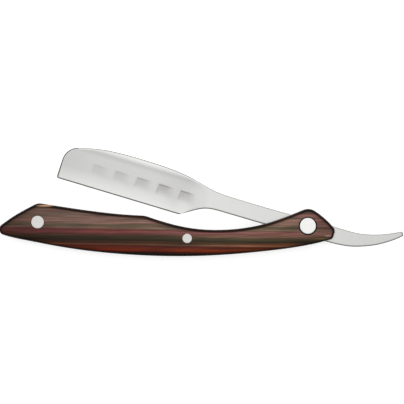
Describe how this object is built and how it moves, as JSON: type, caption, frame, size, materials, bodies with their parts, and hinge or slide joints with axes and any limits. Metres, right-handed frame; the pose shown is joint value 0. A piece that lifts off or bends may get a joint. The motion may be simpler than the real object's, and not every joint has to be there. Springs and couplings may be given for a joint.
{
  "type": "straight razor",
  "caption": "Folding straight razor: hollow-ground blade with scalloped faces and a curved tail, between two laminated wood scales with flush round bolts.",
  "frame": {"origin": "on the pivot axis, in the outer face of the back scale, on which the razor lies flat", "axes": "+X along the handle towards the blade's tail, +Y from the handle's belly to its back and the half-open blade, +Z from the back scale to the front scale, along the pivot"},
  "size_m": [0.1993, 0.0535, 0.0128],
  "materials": {
    "blade_steel": "satin ground, with a brighter strip along the spine",
    "scale_wood": "resin-laminated veneers in dark brown, olive and maroon, polished",
    "liner_steel": "fine brushed",
    "bolt_steel": "polished flush",
    "washer_bronze": "machined"
  },
  "bodies": {
    "handle": {"front_scale": "scale_wood", "back_scale": "scale_wood", "front_liner": "liner_steel", "back_liner": "liner_steel", "tail_spacer": "liner_steel", "stop_bush": "bolt_steel", "pivot_barrel": "bolt_steel", "pivot_screw": "bolt_steel", "middle_bolt_front": "bolt_steel", "middle_bolt_back": "bolt_steel", "tail_bolt_front": "bolt_steel", "tail_bolt_back": "bolt_steel", "front_washer": "washer_bronze", "back_washer": "washer_bronze"},
    "blade": {"blade": "blade_steel"}
  },
  "joints": [
    {"name": "blade_pivot", "type": "hinge", "parent": "handle", "child": "blade", "pos_m": [0, 0, 0.0064], "axis": [0, 0, 1], "range_deg": [-329, 9.8]}
  ]
}
